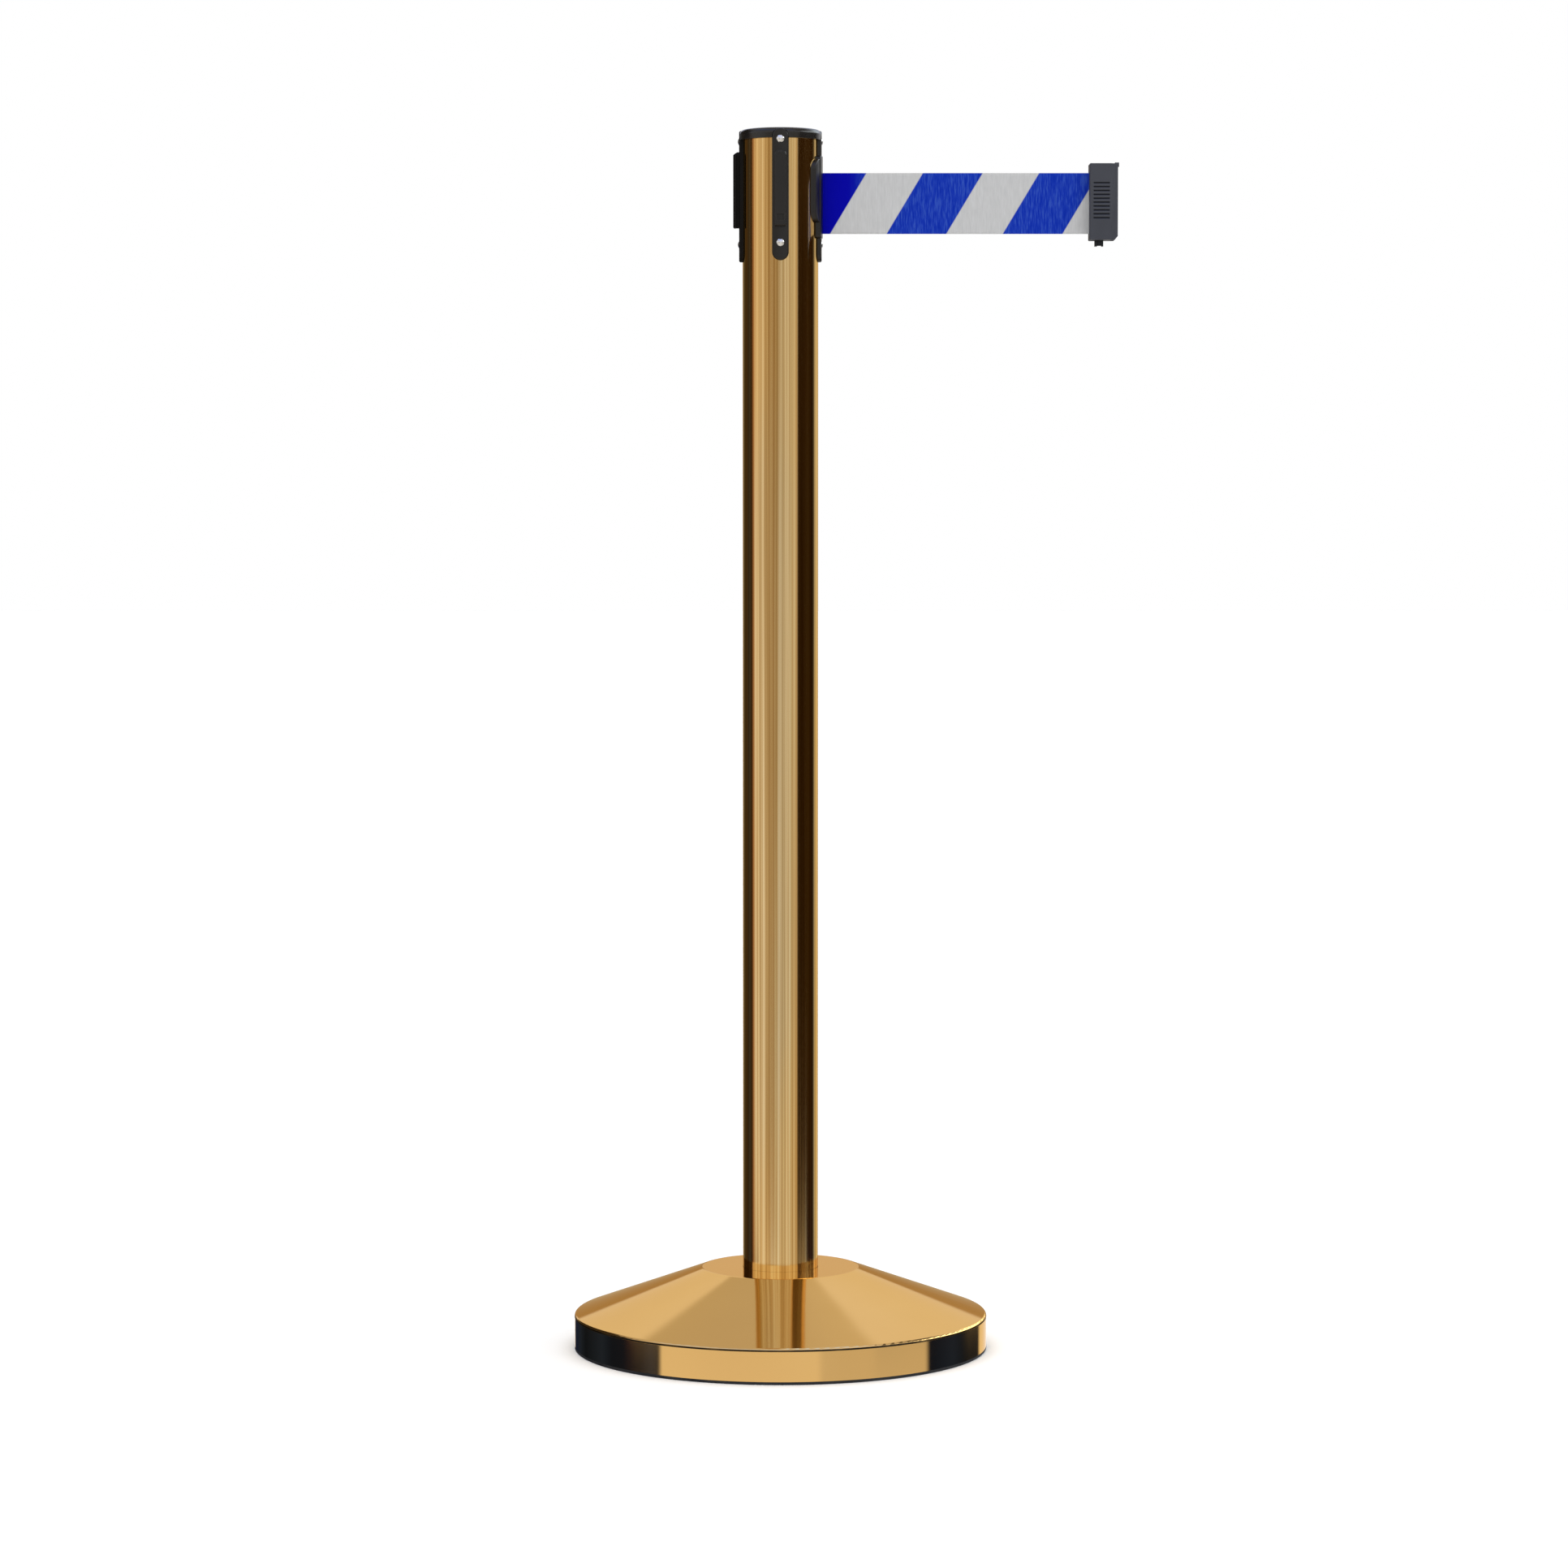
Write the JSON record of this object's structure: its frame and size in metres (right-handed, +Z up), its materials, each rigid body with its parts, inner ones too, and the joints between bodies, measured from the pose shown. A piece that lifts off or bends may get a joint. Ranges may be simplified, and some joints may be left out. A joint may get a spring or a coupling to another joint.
{
  "type": "retractable belt stanchion",
  "caption": "Free-standing crowd-control post with a weighted round base and a spring-retracted striped belt that hooks to the next post.",
  "frame": {"origin": "on the floor, on the post's axis, at the underside of the rubber floor ring", "axes": "+Z up along the post; the belt leaves the post along +X; the front of the post is -Y"},
  "size_m": [0.4585, 0.35, 1.03],
  "materials": {
    "post_brass": "satin, polished along the tube",
    "cover_brass": "polished, spun",
    "rubber": "matt",
    "iron": "rough cast, dark primer",
    "steel": "zinc plated",
    "rivet_steel": "bright",
    "spring_steel": "blued",
    "cap_plastic": "satin moulded",
    "strip_plastic": "matt moulded",
    "clip_plastic": "fine moulded grain",
    "lever_plastic": "matt moulded",
    "cassette_plastic": "moulded",
    "nylon": "natural nylon",
    "bush_brass": "sintered",
    "zinc": "die cast",
    "webbing": "woven polyester with diagonal blue and grey stripes"
  },
  "bodies": {
    "post": {"floor_ring": "rubber", "base_weight": "iron", "base_cover": "cover_brass", "base_bolt": "steel", "flat_washer": "steel", "lock_washer": "steel", "tube_plug": "steel", "post_tube": "post_brass", "top_cap": "cap_plastic", "belt_outlet": "strip_plastic", "receiver_back": "strip_plastic", "receiver_left": "strip_plastic", "receiver_front": "strip_plastic", "receiver_rivets": "rivet_steel", "cassette_housing": "cassette_plastic", "cassette_lid": "cassette_plastic", "lid_screws": "steel", "spindle": "steel", "spindle_washer": "steel", "spindle_nut": "steel", "thrust_washer": "nylon", "power_spring": "spring_steel"},
    "spool": {"spool_core": "nylon", "spring_cup": "cassette_plastic", "spring_cup_lid": "steel", "cup_screws": "steel", "lower_bush": "bush_brass", "upper_bush": "bush_brass", "belt_anchor_rod": "steel", "belt_coil": "webbing", "brake_pins": "steel"},
    "brake_shoe_one": {"brake_shoe_a": "zinc", "brake_pad_a": "rubber"},
    "brake_shoe_two": {"brake_shoe_b": "zinc", "brake_pad_b": "rubber"},
    "belt_end": {"belt_webbing": "webbing", "clip_front_shell": "clip_plastic", "clip_rear_shell": "clip_plastic", "clip_screws": "steel", "belt_pin": "steel", "latch_pin": "steel", "latch_spring": "spring_steel"},
    "lever": {"release_lever": "lever_plastic"}
  },
  "joints": [
    {"name": "belt_pull", "type": "slide", "parent": "post", "child": "belt_end", "axis": [1, 0, 0], "range_m": [-0.2225, 2.06], "stiffness_N_per_m": 2, "springref_m": -3, "deforming": ["belt_webbing"]},
    {"name": "spool_spin", "type": "hinge", "parent": "post", "child": "spool", "pos_m": [0, 0, 0.967], "axis": [0, 0, 1], "continuous": true, "deforming": ["power_spring"]},
    {"name": "lever_press", "type": "hinge", "parent": "belt_end", "child": "lever", "pos_m": [0.2726, 0, 0.978], "axis": [0, 1, 0], "range_deg": [0, 3.5], "stiffness_Nm_per_rad": 0.3, "springref_deg": -11.46, "deforming": ["latch_spring"]},
    {"name": "brake_shoe_one_swing", "type": "hinge", "parent": "spool", "child": "brake_shoe_one", "pos_m": [0.01077, -0.01379, 0.9335], "axis": [0, 0, -1], "range_deg": [0, 2.5]},
    {"name": "brake_shoe_two_swing", "type": "hinge", "parent": "spool", "child": "brake_shoe_two", "pos_m": [-0.01077, 0.01379, 0.9335], "axis": [0, 0, -1], "range_deg": [0, 2.5]}
  ],
  "couplings": [
    {"joint": "spool_spin", "follows": "belt_pull", "rad_per_m": -62.5}
  ]
}
